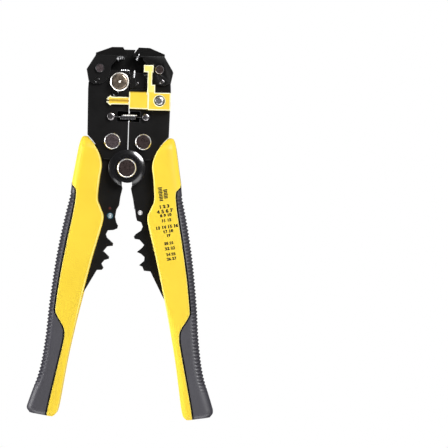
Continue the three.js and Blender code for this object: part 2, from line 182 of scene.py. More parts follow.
def turned_metal(name, dark, light, rough, radian_mm):
    """Metal with faint rings of turning marks about the piece's own axis.

    One ring is 2 pi times radian_mm wide."""
    material, tree, shader, place = surface(name, metallic=1.0)
    scale = 1.0 / (radian_mm * MM) / WAVE_RATE
    rings = node(tree, "ShaderNodeTexWave", {"Scale": scale, "Distortion": 0.6, "Detail": 2.0},
                 wave_type="RINGS", rings_direction="Z")
    link(tree, place, "Object", rings, "Vector")
    spots = noise(tree, place, SPOT_SCALE)
    mixed = ramp(tree, spots, "Fac", [(0.3, dark), (0.75, light)])
    link(tree, mixed, "Color", shader, "Base Color")
    low, high = rough
    sheen = ramp(tree, spots, "Fac", [(0.2, grey(low)), (0.8, grey(high))])
    link(tree, sheen, "Color", shader, "Roughness")
    bump(tree, shader, [(rings, "Fac", *RING_BUMP), (spots, "Fac", *SPOT_BUMP)])
    return material


MATERIALS = {
    "black_steel": mottled("black_oxide", (0.0035, 0.0033, 0.0033), (0.008, 0.0075, 0.0078), (0.3, 0.4),
                           90.0, (2600.0, 0.25, 0.02), specular=0.2),
    # a lighter tone for rounded steel edges: partly wear, partly painted highlight
    "edge_wear_and_highlight": mottled("edge_wear_and_highlight", (0.008, 0.008, 0.01), (0.03, 0.03, 0.034), (0.24, 0.36), 400.0,
                         (2600.0, 0.2, 0.02), metallic=0.3),
    "gloss_black": mottled("gloss_black", (0.004, 0.004, 0.005), (0.008, 0.008, 0.01), (0.16, 0.2), 120.0,
                           (2000.0, 0.05, 0.02), specular=0.9),
    "rivet_face": turned_metal("rivet_face", (0.22, 0.175, 0.185), (0.34, 0.27, 0.285), (0.22, 0.32), 0.25),
    "dark_face": turned_metal("dark_face", (0.1, 0.073, 0.07), (0.17, 0.125, 0.12), (0.24, 0.34), 0.25),
    "rivet_rim": turned_metal("rivet_rim", (0.78, 0.77, 0.76), (0.9, 0.89, 0.88), (0.24, 0.32), 0.25),
    "zinc": mottled("zinc", (0.42, 0.42, 0.44), (0.66, 0.66, 0.68), (0.2, 0.34), 500.0,
                    (3000.0, 0.15, 0.02), metallic=1.0),
    "dark_zinc": mottled("dark_zinc", (0.2, 0.185, 0.19), (0.36, 0.34, 0.35), (0.18, 0.3), 500.0,
                         (3000.0, 0.15, 0.02), metallic=1.0),
    "blade_steel": mottled("blade_steel", (0.5, 0.5, 0.52), (0.74, 0.74, 0.76), (0.5, 0.64), 300.0,
                           (3000.0, 0.3, 0.02), metallic=1.0, stretch=(1.0, 14.0, 1.0)),
    "spring_steel": mottled("spring_steel", (0.035, 0.035, 0.037), (0.09, 0.09, 0.094), (0.14, 0.24), 700.0,
                            (3000.0, 0.1, 0.02), metallic=1.0),
    # bright wire: a painted highlight along the top of the spring's coil
    "wire_highlight": mottled("wire_highlight", (0.75, 0.75, 0.76), (0.95, 0.95, 0.95), (0.4, 0.55), 700.0,
                         (3000.0, 0.1, 0.02), metallic=0.6),
    "knob_face": turned_metal("knob_face", (0.26, 0.2, 0.15), (0.5, 0.4, 0.31), (0.22, 0.34), 0.3),
    "knob_rim": turned_metal("knob_rim", (0.9, 0.85, 0.77), (1.0, 0.96, 0.88), (0.24, 0.34), 0.3),
    # near black: painted shade in the knob's groove
    "knob_groove_shade": mottled("knob_groove_shade", (0.01, 0.008, 0.006), (0.03, 0.024, 0.016), (0.3, 0.5), 300.0,
                           (2000.0, 0.1, 0.02), metallic=0.5),
    "grip_yellow": mottled("grip_yellow", (0.92, 0.645, 0.032), (0.99, 0.715, 0.044), (0.42, 0.54), 30.0,
                           (1800.0, 0.25, 0.04), specular=0.28),
    # paler yellow: painted highlight on the grips' edges and painted light on the stop's finger
    "highlight_yellow": mottled("highlight_yellow", (1.0, 0.8, 0.16), (1.0, 0.86, 0.24), (0.4, 0.52), 60.0,
                          (1800.0, 0.2, 0.03), specular=0.4),
    "grip_grey": mottled("grip_grey", (0.03, 0.028, 0.038), (0.038, 0.036, 0.048), (0.42, 0.54), 60.0,
                          (2200.0, 0.4, 0.05), specular=0.7),
    # near black: painted shade in the seam between a grip's sleeve and overlay
    "painted_seam_shade": mottled("painted_seam_shade", (0.004, 0.004, 0.005), (0.009, 0.009, 0.011), (0.6, 0.8), 80.0,
                          (2200.0, 0.3, 0.03), specular=0.2),
    "stop_yellow": mottled("stop_yellow", (0.94, 0.63, 0.03), (1.0, 0.72, 0.045), (0.36, 0.48), 60.0,
                           (1500.0, 0.15, 0.03), specular=0.5),
    # darker yellow: painted shade on the floor of the stop's channel and on a strip under its finger
    "stop_channel_shade": mottled("stop_channel_shade", (0.55, 0.34, 0.02), (0.68, 0.44, 0.03), (0.4, 0.5), 60.0,
                            (1500.0, 0.15, 0.03), specular=0.3),
    # pale yellow: a painted highlight round the stop's edges
    "stop_edge_highlight": mottled("stop_edge_highlight", (1.0, 0.93, 0.55), (1.0, 0.97, 0.72), (0.26, 0.36), 60.0,
                         (1500.0, 0.15, 0.03), specular=0.5),
    "print_black": mottled("print_black", (0.004, 0.004, 0.004), (0.01, 0.01, 0.01), (0.5, 0.65), 300.0,
                           (2000.0, 0.1, 0.01), specular=0.2),
    "cyan_zinc": mottled("cyan_zinc", (0.42, 0.68, 0.8), (0.66, 0.88, 0.96), (0.25, 0.36), 500.0,
                         (3000.0, 0.15, 0.02), metallic=0.8),
    "blue_paint": mottled("blue_paint", (0.008, 0.09, 0.16), (0.02, 0.16, 0.26), (0.2, 0.35), 600.0,
                          (2000.0, 0.1, 0.01), specular=0.5),
    "red_paint": mottled("red_paint", (0.05, 0.004, 0.004), (0.1, 0.008, 0.007), (0.3, 0.45), 600.0,
                         (2000.0, 0.1, 0.01), specular=0.4),
}


# ---- meshes -------------------------------------------------------------------------

# vertices closer than this are joined: those of a CAD mesh, and those of a turned outline's two ends
WELD = 0.002
TURNED_WELD = 0.001
# faces that meet at less than this are joined into one flat face
FLAT_DEG = 0.8
# edges that turn more than the first are rounded, and edges that turn less than the others look smooth
ROUNDED_DEG = 28
SMOOTH_DEG = 35
CURVED_SMOOTH_DEG = 40


def piece(name, bm, looks, body, replaces=(), centre=None, smooth_deg=SMOOTH_DEG):
    """Makes an object from a bmesh in millimetres, with its origin at centre, riding on a body."""
    if centre is not None:
        bmesh.ops.translate(bm, verts=bm.verts, vec=-Vector(centre))
    bmesh.ops.scale(bm, verts=bm.verts, vec=(MM, MM, MM))
    bmesh.ops.recalc_face_normals(bm, faces=bm.faces)
    mesh = bpy.data.meshes.new(name)
    bm.to_mesh(mesh)
    bm.free()
    made = bpy.data.objects.new(name, mesh)
    bpy.context.scene.collection.objects.link(made)
    if centre is not None:
        made.location = Vector(centre) * MM
    for look in looks:
        mesh.materials.append(MATERIALS[look])
    shade(mesh, smooth_deg)
    if body:
        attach(made, body)
    if replaces:
        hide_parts(*replaces)
    return made


def shade(mesh, smooth_deg):
    mesh.shade_smooth()
    mesh.set_sharp_from_angle(angle=math.radians(smooth_deg))


def apply_modifiers(made):
    bpy.context.view_layer.update()
    evaluated = made.evaluated_get(bpy.context.evaluated_depsgraph_get())
    mesh = bpy.data.meshes.new_from_object(evaluated)
    old = made.data
    made.modifiers.clear()
    made.data = mesh
    bpy.data.meshes.remove(old)


def body_of(node_name):
    return frame["nodes"][node_name]["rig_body"]


def cad_bmesh(node_name):
    """The CAD node's mesh in millimetres, its flat faces joined again."""
    bm = bmesh.new()
    bm.from_mesh(frame["nodes"][node_name].data)
    bmesh.ops.scale(bm, verts=bm.verts, vec=(1 / MM, 1 / MM, 1 / MM))
    bmesh.ops.remove_doubles(bm, verts=bm.verts, dist=WELD)
    bmesh.ops.dissolve_limit(bm, angle_limit=math.radians(FLAT_DEG), verts=bm.verts, edges=bm.edges)
    return bm


def rounded(made, width, segments=2):
    """Rounds the edges of an object, in the last of its looks."""
    rounding = made.modifiers.new("rounding", "BEVEL")
    rounding.width = width * MM
    rounding.segments = segments
    rounding.limit_method = "ANGLE"
    rounding.angle_limit = math.radians(ROUNDED_DEG)
    rounding.harden_normals = True
    rounding.material = len(made.data.materials) - 1
    apply_modifiers(made)


def refined(node_name, looks, bevel, segments=2):
    """Stands for a CAD node with the same shape, its edges rounded in the last of its looks; on the steel
    plates this is a lighter tone, partly wear and partly painted highlight.
    """
    made = piece(node_name + "_fine", cad_bmesh(node_name), looks, body_of(node_name), [node_name])
    rounded(made, bevel, segments)
    return made


def first_look(radius, level):
    return 0


def lathe(bm, profile, sides=72, material=first_look):
    """Turns (radius, level) pairs about the Z axis, closed where they start and end on the axis."""
    rings = []
    turns = [2 * math.pi * n / sides for n in range(sides)]
    for radius, level in profile:
        if radius == 0:
            rings.append([bm.verts.new((0, 0, level))])
        else:
            rings.append([bm.verts.new((radius * math.cos(t), radius * math.sin(t), level)) for t in turns])
    for low, high, a, b in zip(rings, rings[1:], profile, profile[1:]):
        for n in range(sides):
            m = (n + 1) % sides
            corners = [low[n % len(low)], low[m % len(low)], high[m % len(high)], high[n % len(high)]]
            unique = list(dict.fromkeys(corners))
            if len(unique) > 2:
                face = bm.faces.new(unique)
                face.material_index = material((a[0] + b[0]) / 2, (a[1] + b[1]) / 2)
    return rings


def mirror(outline):
    """The mirror image of an outline in the mid-plane, back to front."""
    return [(place, -level) for place, level in reversed(outline)]


def turned(name, profile, centre, looks, body, replaces=(), sides=72, material=first_look,
           smooth_deg=SMOOTH_DEG):
    """A piece turned about the upright line through centre. Its levels are above the mid-plane."""
    bm = bmesh.new()
    lathe(bm, profile, sides, material)
    if profile[0] == profile[-1]:
        bmesh.ops.remove_doubles(bm, verts=bm.verts, dist=TURNED_WELD)
    place = (*centre, MID_Z)
    bmesh.ops.translate(bm, verts=bm.verts, vec=place)
    return piece(name, bm, looks, body, replaces, centre=place, smooth_deg=smooth_deg)


def add_box(bm, size, centre, turn_deg=0.0):
    """Adds a box, turned about its own upright axis, with its middle at centre."""
    made = bmesh.ops.create_cube(bm, size=1.0)["verts"]
    bmesh.ops.scale(bm, verts=made, vec=size)
    bmesh.ops.rotate(bm, verts=made, cent=(0, 0, 0), matrix=Matrix.Rotation(math.radians(turn_deg), 3, "Z"))
    bmesh.ops.translate(bm, verts=made, vec=centre)


def fillet(corner_r, start, end, centre, steps=4):
    """Points of an arc about centre, from start to end degrees, for a lathe profile."""
    found = []
    for n in range(steps + 1):
        angle = math.radians(start + (end - start) * n / steps)
        found.append((centre[0] + corner_r * math.cos(angle), centre[1] + corner_r * math.sin(angle)))
    return found


def catmull(points, steps=14):
    """A smooth curve through points, as an array with a number of steps between each pair."""
    p = np.array(points, float)
    p = np.vstack([2 * p[0] - p[1], p, 2 * p[-1] - p[-2]])
    t = np.linspace(0, 1, steps, endpoint=False)[:, None]
    found = []
    for a, b, c, d in zip(p, p[1:], p[2:], p[3:]):
        found.append(0.5 * (2 * b + (c - a) * t + (2 * a - 5 * b + 4 * c - d) * t ** 2
                            + (3 * b - a - 3 * c + d) * t ** 3))
    return np.vstack([*found, p[-2]])


# ---- plates, blocks and blades from the CAD shapes -------------------------------------

# the jaws rest turned out by this much from where they are closed
JAW_SWING_DEG = 22
# the slot and the blade in the right jaw as they stand when it is closed, and the blade below them
BLADE_SLOT = [(1.9, 52), (1.9, 58.9), (3.2, 58.9), (3.2, 52)]
UPPER_BLADE = [(2.2, 55), (2.55, 54.7), (2.9, 55), (2.9, 58.6), (2.2, 58.6)]
LOWER_BLADE = [(2.25, 50.3), (2.9, 50.3), (2.9, 54.2), (2.6, 54.6), (2.25, 54.0)]
# the notches in the blades: the middle of each on the lower blade, and the step up to the upper one
NOTCHES = (51.3, 52.7)
NOTCH_RISE = 4.8
NOTCH_HALF = 0.17
# the cuts between the teeth of the grip inserts: node, bottom, top and the middle of the first
INSERT_CUTS = [("lower_grip_insert", 54.0, 56.0, -4.2), ("upper_grip_insert", 59.0, 61.6, -6.0)]
CUT_COUNT, CUT_PITCH, CUT_HALF = 4, 1.05, 0.22
GUARD_PIN = (8.5, 51.9)


def swung(points):
    """Points of the closed right jaw, turned about its shoulder to where it rests."""
    turn = Matrix.Rotation(math.radians(-JAW_SWING_DEG), 2)
    shoulder = Vector(SHOULDER)
    return [tuple(shoulder + turn @ (Vector(p) - shoulder)) for p in points]


def prism(points, heights):
    """A straight prism over an outline, between two values of Z."""
    bm = bmesh.new()
    low, high = ([bm.verts.new((x, y, z)) for x, y in points] for z in heights)
    bm.faces.new(low[::-1])
    bm.faces.new(high)
    for n in range(len(points)):
        m = (n + 1) % len(points)
        bm.faces.new((low[n], low[m], high[m], high[n]))
    bmesh.ops.recalc_face_normals(bm, faces=bm.faces)
    return bm


def rectangle(left, right, bottom, top):
    return [(left, bottom), (right, bottom), (right, top), (left, top)]


def cut_outline(made, points, heights):
    subtract(made, prism(points, heights))
    shade(made.data, SMOOTH_DEG)


def subtract(made, tool_bm):
    """Cuts a bmesh in millimetres out of an object."""
    bmesh.ops.scale(tool_bm, verts=tool_bm.verts, vec=(MM, MM, MM))
    mesh = bpy.data.meshes.new("cutting_tool")
    tool_bm.to_mesh(mesh)
    tool_bm.free()
    tool = bpy.data.objects.new("cutting_tool", mesh)
    bpy.context.scene.collection.objects.link(tool)
    cut = made.modifiers.new("cut", "BOOLEAN")
    cut.operation = "DIFFERENCE"
    cut.solver = "EXACT"
    cut.object = tool
    apply_modifiers(made)
    bpy.data.objects.remove(tool)
    bpy.data.meshes.remove(mesh)


def plates():
    """The pieces that keep their CAD shape, and the two grip inserts with cuts between their teeth."""
    for side in (LEFT, RIGHT):
        word = WORD[side]
        for kind in ("core_plate_front", "core_plate_rear", "head_plate_front", "head_plate_rear"):
            refined(f"{word}_{kind}", ["black_steel", "edge_wear_and_highlight"], 0.2)
        jaw = refined(f"{word}_upper_jaw", ["black_steel", "edge_wear_and_highlight"], 0.25, 3)
        if side == RIGHT:
            cut_outline(jaw, swung(BLADE_SLOT), (MID_Z - 4, MID_Z + 9))
        refined(f"{word}_jaw_rear_ear", ["black_steel", "edge_wear_and_highlight"], 0.25)
        # the left tail pin is painted black and the right one dark zinc: a painted difference of light, as
        # only the right one catches a glint
        refined(f"{word}_tail_pin", ["black_steel" if side == LEFT else "dark_zinc"], 0.3, 3)
        for kind in ("head_spacer", "shoulder_bush", "tang_rivet"):
            refined(f"{word}_{kind}", ["zinc"], 0.1)
    refined("left_lower_jaw_block", ["black_steel", "edge_wear_and_highlight"], 0.2)
    refined("guide_lobe", ["black_steel", "edge_wear_and_highlight"], 0.2)
    refined("guide_lobe_pin", ["black_steel", "edge_wear_and_highlight"], 0.15)
    for name in ("guide_lobe_rivet", "blade_screw", "stop_nut", "adjuster_cam", "adjuster_washer",
                 "pivot_spacer_front", "pivot_spacer_rear"):
        refined(name, ["dark_zinc"], 0.12)
    refined("cutter_blade", ["blade_steel"], 0.08, 1)
    for name, low, high, first in INSERT_CUTS:
        made = refined(name, ["blade_steel"], 0.06, 1)
        for cut in range(CUT_COUNT):
            x = first + CUT_PITCH * cut
            cut_outline(made, rectangle(x - CUT_HALF, x + CUT_HALF, low, high), (MID_Z - 4, MID_Z + 6))


# the wire stop: where its finger starts, the floor of its arrow's channel, the channel's outline,
# and the strip along the top of its block that lies in the finger's shade
FINGER_FOOT = 42.3
STOP_CHANNEL_Z = MID_Z + 6.55
STOP_CHANNEL = rectangle(-11.2, 0.1, 36.75, 37.85)
SHADED_STRIP = (0.7, 9.9, 41.9, 42.6)
# width of the pale border round the stop's front faces, a painted highlight on its edges
STOP_BORDER = 0.42
# a face lies on the channel's floor when its Z is this near to it
NEAR = 0.02
# a face looks to the front when its normal's Z is above this; smaller ones, in mm2, get no border
FRONT_FACING = 0.98
BORDERED_AREA = 4


def border(made, width, look, split_y):
    """Gives the large faces that look to the front a border in another look, for a painted highlight along
    their edges, and splits all at split_y.
    """
    bm = bmesh.new()
    bm.from_mesh(made.data)
    bmesh.ops.bisect_plane(bm, geom=[*bm.verts, *bm.edges, *bm.faces], plane_co=(0, split_y * MM, 0),
                           plane_no=(0, 1, 0))
    facing = [face for face in bm.faces
              if face.normal.z > FRONT_FACING and face.calc_area() > BORDERED_AREA * MM * MM]
    rims = bmesh.ops.inset_region(bm, faces=facing, thickness=width * MM, use_boundary=True,
                                  use_even_offset=True)["faces"]
    for face in rims:
        face.material_index = look
    bm.to_mesh(made.data)
    bm.free()


def cutting_jaws():
    """The two stripping blades with their notches, the lower one's holder and cover, and a pin."""
    blade = prism(LOWER_BLADE, (MID_Z + 2.1, MID_Z + 4.9))
    lower = piece("lower_blade_fine", blade, ["blade_steel"], "right_head", ["lower_blade"])
    rounded(lower, 0.08, 1)
    blade = prism(swung(UPPER_BLADE), (MID_Z - 2.6, MID_Z + 5.4))
    upper = piece("upper_blade_fine", blade, ["blade_steel"], "right_jaw", ["upper_blade"])
    rounded(upper, 0.08, 1)
    for y in NOTCHES:
        notch = rectangle(2.5, 3.0, y - NOTCH_HALF, y + NOTCH_HALF)
        cut_outline(lower, notch, (MID_Z, MID_Z + 6))
        y += NOTCH_RISE
        notch = rectangle(2.1, 2.6, y - NOTCH_HALF, y + NOTCH_HALF)
        cut_outline(upper, swung(notch), (MID_Z, MID_Z + 6))

    refined("right_lower_jaw_block", ["black_steel", "edge_wear_and_highlight"], 0.2)
    cover = prism(rectangle(1.6, 3.5, 45.4, 50.0), (MID_Z + 4.3, MID_Z + 5.3))
    rounded(piece("blade_cover", cover, ["black_steel", "edge_wear_and_highlight"], "right_head"), 0.2)
    turned("guard_pin", [(0, 4.6), (0.5, 4.6), (0.5, 5.35), (0.36, 5.5), (0, 5.55)], GUARD_PIN, ["zinc"],
           "right_head", sides=24)


def wire_stop():
    """The yellow stop: rounded edges with a pale border of painted highlight, a finger painted paler as if
    lit more brightly than the block, and a shallow channel along its arrow whose floor, like a strip under
    the finger, is painted darker as shade.
    """
    looks = ["stop_yellow", "stop_channel_shade", "highlight_yellow", "stop_edge_highlight"]
    plain, channel, finger, edge = range(len(looks))
    made = refined("wire_stop", looks, 0.5, 2)
    border(made, STOP_BORDER, edge, FINGER_FOOT)
    low, high = STOP_CHANNEL_Z, MID_Z + 8
    cut_outline(made, STOP_CHANNEL, (low, high))
    left, right, bottom, top = SHADED_STRIP
    # painted shade on the channel's floor and on the strip under the finger, and a paler yellow painted as
    # light on the finger
    for face in made.data.polygons:
        x, y, z = face.center / MM
        if abs(z - low) < NEAR or (left < x < right and bottom < y < top and z > low):
            face.material_index = channel
        elif y > FINGER_FOOT and face.material_index == plain:
            face.material_index = finger


# ---- rivets, screws and the knob -----------------------------------------------------------

# how far a rivet's face is set in, the lip's width round it, and the chamfer's height for each mm of rim
FACE_DIP = 0.16
FACE_LIP = 0.08
CHAMFER_RISE = 0.67
# a thin black ring round the stop's screw: painted shade of the countersink its head sits in
STOP_SCREW_SHADE_RING = [(2.2, 8.55), (2.82, 8.55), (2.82, 8.95), (2.74, 9.02), (2.28, 9.02), (2.2, 8.95),
                     (2.2, 8.55)]


def head_profile(radius, low, high, rim):
    """Half of a riveted head, from its edge to the axis: a chamfered rim and a face set in a little."""
    foot = high - CHAMFER_RISE * rim
    top = radius - rim
    face = high - FACE_DIP
    return [(radius, low), (radius, foot - 0.08), (radius - 0.03, foot), (top + 0.04, high - 0.04),
            (top, high), (top - FACE_LIP, high - 0.02), (top - FACE_LIP, face), (radius * 0.5, face),
            (0, face)]


def two_headed(name, centre, shank_r, head_r, inner, outer, body, replaces, looks, rim=0.48):
    """A rivet with a head at the front and the rear: looks are for its two faces and for all the rest."""
    front = [(shank_r, inner), *head_profile(head_r, inner, outer, rim)]
    face_r = head_r - rim - FACE_LIP + 0.01
    turned(name, [*mirror(front), *front], centre, looks, body, replaces, smooth_deg=50,
           material=lambda r, z: 0 if r < face_r and abs(z) > inner else 1)


def screw(name, centre, shank_r, head_r, low, high, foot, body, replaces, recess, look="zinc"):
    """A pan-head screw, its recess given as (width, depth, turn of each arm)."""
    corner_r = 0.35
    dome = [(head_r, low), (head_r, low + 0.25), *fillet(corner_r, 0, 60, (head_r - corner_r, high - 0.45)),
            (head_r * 0.45, high - 0.02), (0, high)]
    shank = [(0, foot), (shank_r - 0.15, foot), (shank_r, foot + 0.15), (shank_r, low)]
    made = turned(name, [*shank, *dome], centre, [look], body, replaces, sides=48)
    width, depth, turns = recess
    for turn in turns:
        tool = bmesh.new()
        add_box(tool, (head_r * 1.25, width, 2 * depth), (*centre, MID_Z + high), turn)
        subtract(made, tool)
    shade(made.data, CURVED_SMOOTH_DEG)


def fastenings():
    """The rivets and screws that show, and a thin black ring under the stop's screw, painted shade of its
    countersink.
    """
    two_headed("main_rivet_fine", (0, 0), 4.0, 5.3, 7.3, 10.0, "left_handle", ["main_rivet"], rim=0.55,
               looks=["dark_face", "rivet_rim"])
    # The rivets' looks differ between the sides. The left shoulder rivet has a lighter face and a dull rim,
    # where the right one has a dark face and a metal rim that catches a glint: painted light and shade. The
    # left link rivet's face is a lighter tone than the right one's.
    for side, link_face, jaw_looks in ((LEFT, "rivet_face", ["rivet_face", "edge_wear_and_highlight"]),
                                       (RIGHT, "dark_face", ["dark_face", "dark_zinc"])):
        word = WORD[side]
        two_headed(f"{word}_link_rivet_fine", (side * LINK[0], LINK[1]), 2.6, 4.5, 5.4, 7.0,
                   f"{word}_handle", [f"{word}_link_rivet"], looks=[link_face, "rivet_rim"])
        two_headed(f"{word}_shoulder_rivet_fine", (side * SHOULDER[0], SHOULDER[1]), 1.6, 2.5, 7.2, 8.3,
                   f"{word}_jaw", [f"{word}_shoulder_rivet"], rim=0.3, looks=jaw_looks)
    left_post = (-SPRING_POST[0], SPRING_POST[1])
    screw("spring_screw_fine", left_post, 1.2, 2.1, 6.0, 7.0, 0.0, "left_head", ["spring_screw"],
          (0.5, 0.45, (20, 110)), "dark_zinc")
    screw("spring_pin_fine", SPRING_POST, 1.2, 1.9, 6.0, 7.0, 0.0, "right_head", ["spring_pin"], (0, 0, ()),
          "dark_zinc")
    screw("stop_screw_fine", STOP_SCREW, 1.2, 2.3, 8.9, 10.0, 2.2, "stop", ["stop_screw"],
          (0.75, 0.75, (40, 130)))
    turned("stop_screw_shade_ring", STOP_SCREW_SHADE_RING, STOP_SCREW, ["black_steel"], "stop", sides=48)


def knob():
    """The adjuster: a shaft and a fluted head with a bright rim, a groove painted near black as shade, and
    a raised middle.
    """
    radius, low, high = 5.2, 7.2, 9.6
    shaft_r, foot = 1.5, 3.4
    flutes, flute_depth = 60, 0.22
    # four points of the turned outline to each flute
    flute_points = 4
    face_look, rim_look, groove_shade_look = range(3)
    shaft = [(0, foot), (shaft_r, foot), (shaft_r, low)]
    # distance in from the edge and down from the top: the side and the rim, the groove, then the face
    rim = [(0.04, 0.33), (0.48, 0.04), (0.52, 0), (0.58, 0.04)]
    groove = [(0.68, 0.4), (0.84, 0.4), (0.94, 0.3)]
    face = [(1.22, 0.28), (1.3, 0.26), (1.46, 0.19), (1.52, 0.18)]
    middle = [(radius * 0.5, high - 0.16), (0.6, high - 0.2), (0.5, high - 0.08), (0.3, high), (0, high)]
    side = [(radius - 0.3, low), (radius, low + 0.3), (radius, high - 0.5)]
    profile = [*shaft, *side, *[(radius - x, high - y) for x, y in rim + groove + face], *middle]

    # the groove's faces take the painted shade
    def look(r, z):
        if radius - 0.92 < r < radius - 0.6 and z > high - 0.5:
            return groove_shade_look
        return face_look if z > high - 0.45 and 0.56 < r < radius - 0.8 else rim_look

    bm = bmesh.new()
    rings = lathe(bm, profile, sides=flutes * flute_points, material=look)
    for (r, z), ring in zip(profile, rings):
        if r > radius - 0.03 and low + 0.1 < z < high - 0.45:
            for n, vert in enumerate(ring):
                depth = flute_depth / 2 * (1 + math.cos(2 * math.pi * n / flute_points))
                vert.co.x *= 1 - depth / radius
                vert.co.y *= 1 - depth / radius
    bmesh.ops.translate(bm, verts=bm.verts, vec=(*KNOB, MID_Z))
    piece("adjuster_knob_fine", bm, ["knob_face", "knob_rim", "knob_groove_shade"], "adjuster", ["adjuster_knob"],
          centre=(*KNOB, MID_Z), smooth_deg=CURVED_SMOOTH_DEG)


def pivot_dish(name, rear):
    """The pressed ring round the main rivet, open at the bottom where the handles part."""
    outer, bore, low = 10.3, 4.3, 5.4
    gap_size, gap_y = (6.2, 6, 30), -10.4
    # the crown is an arc that falls outwards from its crest, between these two slopes
    bend_r, crest_r, crest, steep_deg, flat_deg, steps = 7.9, 6.6, 8.15, 27, 3, 16
    crown = [(crest_r + bend_r * math.sin(t), crest - bend_r * (1 - math.cos(t)))
             for t in np.radians(np.linspace(steep_deg, flat_deg, steps))]
    outline = [(outer, low), (outer, 6.9), *crown, (6.9, 8.12), (6.82, 8.02), (6.8, 7.0), (bore, 7.0),
               (bore, low), (outer, low)]
    if rear:
        outline = [(r, -z) for r, z in outline]
    made = turned(name + "_fine", outline, (0, 0), ["gloss_black"], "left_handle", [name], sides=96)
    gap = bmesh.new()
    add_box(gap, gap_size, (0, gap_y, MID_Z))
    subtract(made, gap)
    shade(made.data, CURVED_SMOOTH_DEG)


# ---- the return spring -----------------------------------------------------------------------

def spring():
    """One wire: a loop round each post, straight legs, and the coil between them, with a painted highlight
    streak along the coil's top.
    """
    wire_r, coil_r, half, turns, level = 0.36, 1.9, 4.3, 10, 3.6
    hook_level, loop_r, loop_start_deg, loop_turn_deg, loop_steps = 5.62, 1.62, -60, 300, 24
    loop_height = 0.98 * loop_r
    x_post, y_post = SPRING_POST
    per_turn, wire_sides, highlight_rise = 20, 10, 1.2
    path = []
    for n in range(loop_steps + 1):
        angle = math.radians(loop_start_deg - loop_turn_deg * n / loop_steps)
        x = loop_r * math.cos(angle) - x_post
        path.append((x, y_post + loop_height * math.sin(angle), hook_level))
    # the leg: it starts beside the loop and ends above the coil's end
    path.append((-x_post + loop_r + 1.2, y_post + 0.05, hook_level))
    path.append((-half - 0.9, y_post, hook_level - 0.02))
    mirrored = [(-x, y, z) for x, y, z in reversed(path)]
    for n in range(turns * per_turn + 1):
        angle = 2 * math.pi * n / per_turn
        x = -half + 2 * half * n / (turns * per_turn)
        path.append((x, y_post - coil_r * math.sin(angle), level + coil_r * math.cos(angle)))
    p = np.array(path + mirrored)
    # round the corners where the loops, the legs and the coil join
    for _ in range(2):
        p[1:-1] = 0.25 * p[:-2] + 0.5 * p[1:-1] + 0.25 * p[2:]
    bm = bmesh.new()
    tube(bm, p + np.array([0, 0, MID_Z]), wire_r, wire_sides)
    for face in bm.faces:
        x, y, z = face.calc_center_median()
        # painted highlight: a bright streak along the coil's top, a little above its middle in Y, where a
        # light's reflection falls
        if -3.0 < x < half and 0.6 < y - y_post < 1.15 and z > MID_Z + level + highlight_rise:
            face.material_index = 1
    made = piece("return_spring_fine", bm, ["spring_steel", "wire_highlight"], None,
                 ["return_spring", "spring_hook_left", "spring_hook_right"], smooth_deg=60)
    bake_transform(made)


def tube(bm, path, radius, sides):
    """A round wire along an array of points, closed at both ends."""
    steps = np.gradient(path, axis=0)
    steps /= np.linalg.norm(steps, axis=1)[:, None]
    side = np.cross(steps[0], (0, 0, 1.0))
    side /= np.linalg.norm(side)
    rings = []
    for place, step in zip(path, steps):
        side = side - step * side.dot(step)
        side /= np.linalg.norm(side)
        up = np.cross(step, side)
        rings.append([bm.verts.new(place + radius * (side * math.cos(a) + up * math.sin(a)))
                      for a in np.linspace(0, 2 * math.pi, sides, endpoint=False)])
    for low, high in zip(rings, rings[1:]):
        for n in range(sides):
            m = (n + 1) % sides
            bm.faces.new((low[n], low[m], high[m], high[n]))
    bm.faces.new(rings[0][::-1])
    bm.faces.new(rings[-1])


# ---- grips ----------------------------------------------------------------------------------------

# outlines and seam for x > 0, from the top of the grip to its bottom
GRIP_OUTER = [(22.4, 17.4), (25.2, 17), (26.7, 13), (27.8, 7), (28.9, 0), (30.1, -7.5), (31, -15),
              (34.5, -31), (38, -51), (40.9, -75), (42.6, -95), (45.4, -113), (50.6, -130),
              (51.5, -132.8), (51.5, -134.6), (50.2, -136.4)]
GRIP_INNER = [(22.4, 17.4), (20.9, 15.6), (18.8, 13.2), (15.6, 7.8), (14, 1.5), (14.9, -6), (15.7, -17),
              (14, -22), (12.2, -27.5), (13.9, -35.7), (17.5, -49.2), (22.2, -69), (26.5, -89),
              (30, -107), (33.4, -129), (34.2, -133.4), (35.2, -136.8), (37.4, -138.8), (38.6, -139)]
SEAM = [(30.9, -9.4), (29.3, -11), (28, -13.6), (28.8, -22.5), (32, -40), (35.2, -59), (37.3, -76),
        (37.2, -81), (32.8, -88.8), (32.2, -93), (32.8, -98), (35.7, -112), (39.2, -129),
        (41.1, -139.5)]
AXIS_START = np.array([22.0, 16.0])
AXIS = np.array([0.148, -0.989])
AXIS /= np.linalg.norm(AXIS)
ACROSS = np.array([-AXIS[1], AXIS[0]])
# half the grip's thickness, and half of it at the very top
GRIP_HALF, TOP_HALF = 9.85, 0.3
# where the grip starts and ends along the axis, over how much each end is rounded, and how far the
# rounding of the lower end goes
GRIP_TOP, TOP_ROUNDING = -1.3, 7.0
GRIP_END, END_ROUNDING, END_SHARE = 155.6, 3.0, 0.35
# radius of the outer long edge, and of the inner one, which grows by INNER_MORE between two distances
OUTER_R = 4.2
INNER_R, INNER_MORE = 0.9, 2.6
INNER_WIDENS = (84, 104)
# the long edges' radii are at most these shares of the width and of the half thickness
WIDTH_SHARE, HALF_SHARE = 0.48, 0.9
# how much the middle of the front stands above its sides
CROWN = 0.22


def lateral(points):
    """A curve's distance out from the grip's axis, as a function of the distance along it."""
    curve = catmull(points) - AXIS_START
    along = np.maximum.accumulate(curve @ AXIS)
    return lambda a: np.interp(a, along, curve @ ACROSS)


OUTER_AT, INNER_AT, SEAM_AT = lateral(GRIP_OUTER), lateral(GRIP_INNER), lateral(SEAM)


